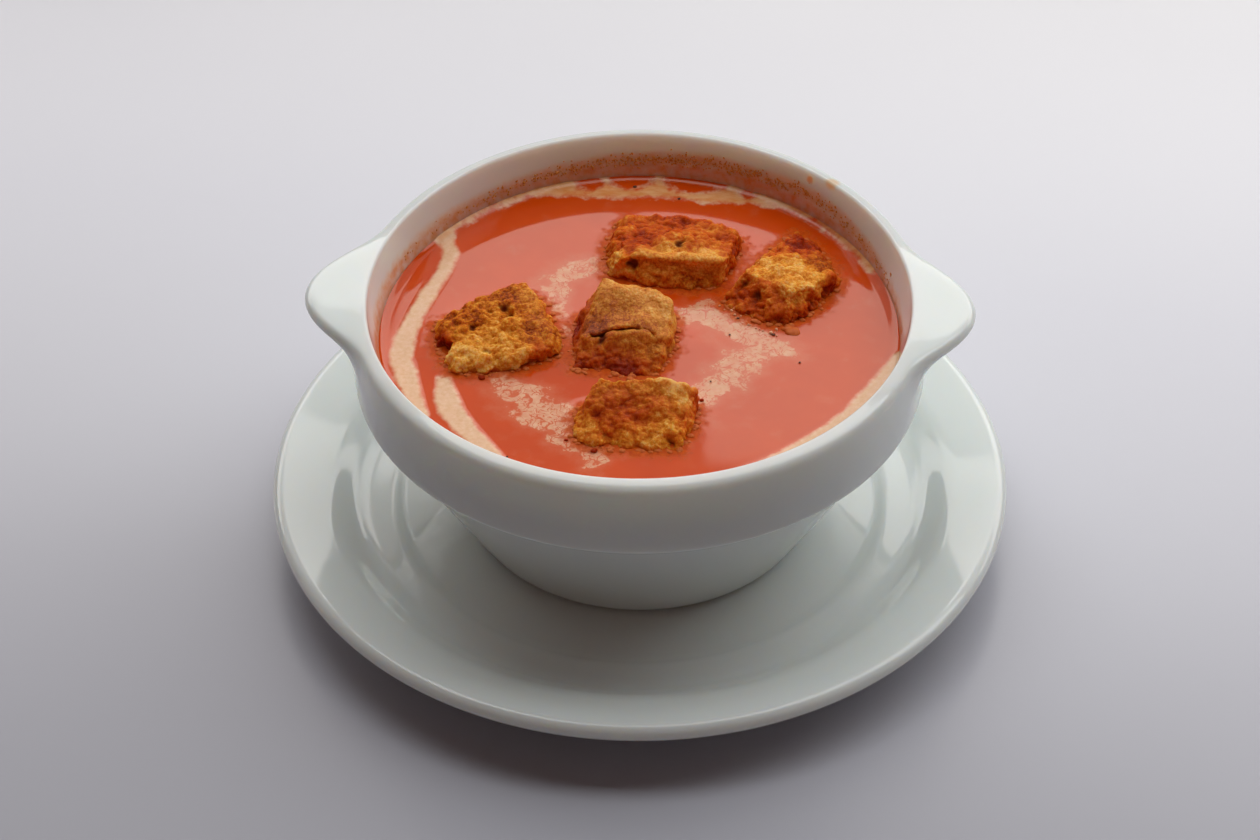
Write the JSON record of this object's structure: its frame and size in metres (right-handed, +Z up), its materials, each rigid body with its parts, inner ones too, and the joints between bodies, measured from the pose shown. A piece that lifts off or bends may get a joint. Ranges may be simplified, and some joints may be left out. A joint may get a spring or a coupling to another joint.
{
  "type": "bowl of creamy tomato soup with croutons, on its saucer",
  "caption": "White lugged porcelain soup bowl on a matching saucer, full of creamy tomato soup with a swirl of cream and toasted bread croutons.",
  "frame": {"origin": "centre of the saucer's foot ring, on the surface it stands on", "axes": "+Z up along the axis of bowl and saucer; the two lugs lie at +X and -X; -Y is the near side in the picture"},
  "size_m": [0.17, 0.17, 0.0668],
  "materials": {
    "porcelain": "gloss",
    "soup": "gloss",
    "toast": "matte"
  },
  "bodies": {
    "root": {"saucer": "porcelain", "bowl": "porcelain", "soup": "soup", "crouton_left": "toast", "crouton_back": "toast", "crouton_right": "toast", "crouton_centre": "toast", "crouton_front": "toast"}
  },
  "joints": []
}
